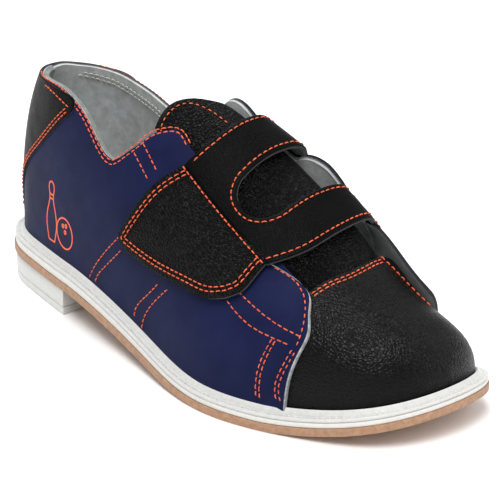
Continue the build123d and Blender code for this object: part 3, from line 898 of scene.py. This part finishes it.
def make_pads():
    """Hook pad under the flap and loop pad on the lateral quarter, of one outline."""
    pad = patch(walls(-1, (-2, 84), (8, 70), (13, 60)),
                walls(-1, (-48, 66), (-48, 62), (-44, 57)), None,
                walls(-1, (13, 60), (6, 57), (-26, 55.5), (-44, 57)), step=2)
    for name, body, outer, inner, node in (
            ("hook_patch", "strap_flap", STRAP_IN - 0.02, HOOK_IN + 0.05, "hook_pad"),
            ("loop_patch", "root", 0.95, 0.02, "loop_pad")):
        piece = thick(name, pad, outer, inner, [HOOK_LOOP] * 3, bead=0.3)
        finish_piece(piece, body, "hook_and_loop", node)


# ---- seams ----------------------------------------------------------------------------------
def make_seams():
    lines = [curve(points) for points in (
            [(-21.4, 31.5, 93), (-23.5, 24, 88), (-25, 17, 82.5)],
            [(-19, 28, 97.6), (-21, 21, 93), (-22.5, 14, 87)],
            [(-37, -52, 54.7), (-37.4, -67.5, 49), (-36.3, -80.5, 45.3), (-34.3, -89, 43.5)],
            [(-40, -48, 50), (-41.3, -64, 43.3), (-39.2, -79, 40.4), (-37.2, -87, 39)],
            [(-31, 31, 54.7), (-29.7, 46, 39), (-28.3, 54.5, 27.6), (-28, 56.5, 24)],
            [(-32, 29, 48.6), (-30.4, 43, 35), (-29.3, 49.5, 27), (-29, 50.5, 24)],
            [(-38, -2, 43), (-37.7, 7, 33.6), (-36.7, 15, 22), (-37, 14.8, 19)],
            [(-39.4, -9.5, 43), (-39, 1, 32), (-38.4, 7.5, 21.4), (-38.3, 8.5, 17)],
            [(-23, -62, 64), (-22, -76, 59.5), (-25, -82.5, 55.5), (-30.5, -87, 48), (-34, -88, 42),
             (-36.5, -87.5, 38)])]
    lines += double(curve([(-37.5, -86.5, 38), (-41, -83.5, 28.7), (-43, -82, 18),
                           (-42.6, -84, 12)]), -1.8)
    lines += double(curve([(-39.4, -78, 40), (-43.8, -75, 28), (-45.3, -74.5, 19),
                           (-45, -75.5, 11)]), 1.8)
    topline = curve(lowered(LATERAL_TOP[4:-1], 3))
    lines += [topline, beside(topline, 2.0)]
    finish_piece(stitches("lateral_quarter_stitching", lines, 0.0), "root", "blue_leather")
    rear = double(curve(walls(-1, (81, 99.5), (100.5, 81), (116, 66.5), (127, 53), (132.6, 40),
                              (134, 30))), 1.8)
    rear += double(curve(walls(1, (94, 98), (113.5, 71.5), (127, 53), (132.6, 40),
                               (134, 30))), -1.8)
    rear.append(curve(walls(-1, (80, 102), (92, 104.6), (106, 105.2))))
    finish_piece(stitches("backstay_stitching", rear, 0.9), "root", "black_leather")
    medial = [curve(lowered(MEDIAL_TOP[2:-2], 3.2))]
    medial.append(beside(medial[0], -2.0))
    finish_piece(stitches("medial_quarter_stitching", medial, 0.0), "root", "blue_leather")
    seam = double(curve(tops((-22.5, -82.5), (-12, -85.3), (-5, -87), (9.5, -87),
                             (23, -85.5))), 1.6)
    seam.append(curve(tops((22, -84), (25.5, -92), (28, -102), (29, -110))))
    finish_piece(stitches("vamp_seam_stitching", seam, QUARTER_IN), "root", "black_leather")
    inside = [curve(lowered(MEDIAL_TOP[5:-1], drop)) for drop in (5.0, 8.0)]
    finish_piece(stitches("lining_stitching", inside, LINING_IN - 0.1, PALE_THREAD),
                 "root", "grey_lining")


# ---- print: a bowling pin and a ball --------------------------------------------------------
def raised_lines(lines, radius, lift_by):
    """Low ridges along lines on the surface."""
    verts, faces = [], []
    for line in lines:
        run = snap(along(line, np.linspace(0, 1, max(int(length(line) / 0.7), 8))))
        up = normals(run)
        ahead = np.gradient(run, axis=0)
        side = np.cross(ahead, up)
        side /= np.linalg.norm(side, axis=1)[:, None]
        start = len(verts)
        for at, n, s in zip(run, up, side):
            for offset, rise in ((-1, 0), (-0.8, 1), (0.8, 1), (1, 0)):
                verts.append(at + s * radius * offset + n * (rise * lift_by - 0.02 * (1 - rise)))
        for i in range(len(run) - 1):
            for j in range(4):
                a, b = start + i * 4 + j, start + i * 4 + (j + 1) % 4
                faces.append((a, b, b + 4, a + 4))
        faces.append([start + j for j in (3, 2, 1, 0)])
        faces.append([start + (len(run) - 1) * 4 + j for j in range(4)])
    return verts, faces


PRINT_AT, PRINT_R, PRINT_RISE = (86.0, 46.0), 0.42, 0.12
PIN_HALF = [(0, 15.5), (1.9, 14.6), (2.6, 12.4), (2.1, 10), (1.7, 7.6), (2.2, 5), (3.9, 0.5),
            (4.9, -4), (4.6, -8.5), (3.2, -13.5), (2.9, -14.6)]
PIN_Y, PIN_BASE, BALL_AT, BALL_R, HOLE_R = -6.5, (2.9, -14.6), (6.5, -6.5), 7.6, 0.9
HOLES_AT = ((-1.6, 3.4), (1.4, 4.2), (0.6, 0.8))


def print_spot(across, up):
    return wall_point(PRINT_AT[0] - across, PRINT_AT[1] + up, -1)


def print_ring(across, up, radius, count):
    return [print_spot(across + radius * math.cos(a), up + radius * math.sin(a))
            for a in np.linspace(0, 2 * math.pi, count)]


def make_print():
    """A generic bowling pin beside a ball."""
    right = [print_spot(dy + PIN_Y, dz) for dy, dz in PIN_HALF]
    left = [print_spot(-dy + PIN_Y, dz) for dy, dz in PIN_HALF]
    pin = curve(left[::-1] + right[1:], 120)
    half_base, foot = PIN_BASE
    base = [print_spot(-half_base + PIN_Y, foot), print_spot(half_base + PIN_Y, foot)]
    collar = [[print_spot(PIN_Y + dy, dz - drop) for dy, drop in ((-2.0, 0), (0, 0.5), (2.0, 0))]
              for dz in (9.3, 7.2)]
    ball = print_ring(*BALL_AT, BALL_R, 60)
    holes = [print_ring(BALL_AT[0] + cy, BALL_AT[1] + cz, HOLE_R, 14) for cy, cz in HOLES_AT]
    verts, faces = raised_lines([pin, base, *collar, ball, *holes], PRINT_R, PRINT_RISE)
    piece = add_mesh("pin_and_ball_print", verts, faces, [PRINT])
    fix_normals(piece)
    finish_piece(piece, "root", "blue_leather")


# ---- CAD nodes ------------------------------------------------------------------------------
def dress_cad():
    """A plain finish for the CAD nodes; only the two inside the sole aren't replaced by a piece."""
    for name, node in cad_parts.items():
        node.data.materials.clear()
        node.data.materials.append(TAN_SOLE if name in ("shank", "bottom_filler") else DARK_EDGE)


# ---- studio ---------------------------------------------------------------------------------
WORLD_STRENGTH = 0.55
LIGHTS = (("key", (-0.7, -0.5, 1.5), 0.9, 22),         # name, place, size and power
          ("fill", (0.9, -1.0, 1.0), 1.0, 7),
          ("back", (0.5, 1.0, 1.3), 1.0, 12))


def make_studio():
    n = Nodes("studio_floor")
    n.link(n.mix(n.noise(6, 2), (0.97, 0.97, 0.97), (0.98, 0.98, 0.98)),
           n.shader.inputs["Base Color"])
    n.shader.inputs["Roughness"].default_value = 0.7
    mesh = bpy.data.meshes.new("floor")
    mesh.from_pydata([(-6, -6, 0), (6, -6, 0), (6, 6, 0), (-6, 6, 0)], [], [(0, 1, 2, 3)])
    mesh.materials.append(n.material)
    floor = bpy.data.objects.new("floor", mesh)
    bpy.context.scene.collection.objects.link(floor)

    world = bpy.data.worlds.new("studio")
    world.use_nodes = True
    world.node_tree.nodes["Background"].inputs["Color"].default_value = (1, 1, 1, 1)
    world.node_tree.nodes["Background"].inputs["Strength"].default_value = WORLD_STRENGTH
    bpy.context.scene.world = world
    bpy.context.scene.view_settings.view_transform = "Standard"
    for name, place, size, power in LIGHTS:
        light = bpy.data.lights.new(name, "AREA")
        light.size = size
        light.energy = power
        lamp = bpy.data.objects.new(name, light)
        lamp.location = place
        aim = Vector((0, 0, TARGET_Z)) - Vector(place)
        lamp.rotation_euler = aim.to_track_quat("-Z", "Y").to_euler()
        bpy.context.scene.collection.objects.link(lamp)


AZIMUTH, ELEVATION, ROLL, DISTANCE = -45.42, 22.08, 0.93, 1.3278
FOCAL_SHARE = 5.7504         # focal length over the frame's width
TARGET_RIGHT, TARGET_UP, TARGET_Z = 0.01608, -0.00132, 0.050


def make_camera():
    az, el, roll = (math.radians(a) for a in (AZIMUTH, ELEVATION, ROLL))
    back = Vector((math.sin(az) * math.cos(el), -math.cos(az) * math.cos(el), math.sin(el)))
    flat_right = (-back).cross(Vector((0, 0, 1))).normalized()
    flat_up = flat_right.cross(-back)
    right = flat_right * math.cos(roll) + flat_up * math.sin(roll)
    up = flat_up * math.cos(roll) - flat_right * math.sin(roll)
    data = bpy.data.cameras.new("camera")
    data.sensor_width = 36
    data.lens = FOCAL_SHARE * data.sensor_width
    camera = bpy.data.objects.new("camera", data)
    target = Vector((0, 0, TARGET_Z)) + right * TARGET_RIGHT + up * TARGET_UP
    basis = np.column_stack([right, up, back])
    place = target + back * DISTANCE
    camera.matrix_world = Matrix([(*basis[i], place[i]) for i in range(3)] + [(0, 0, 0, 1)])
    bpy.context.scene.collection.objects.link(camera)
    bpy.context.scene.camera = camera


dress_cad()
make_sole()
make_quarters()
make_vamp()
make_linings()
make_backstay()
make_footbed()
make_tongue()
make_strap()
make_flap()
make_pads()
make_seams()
make_print()
make_studio()
make_camera()
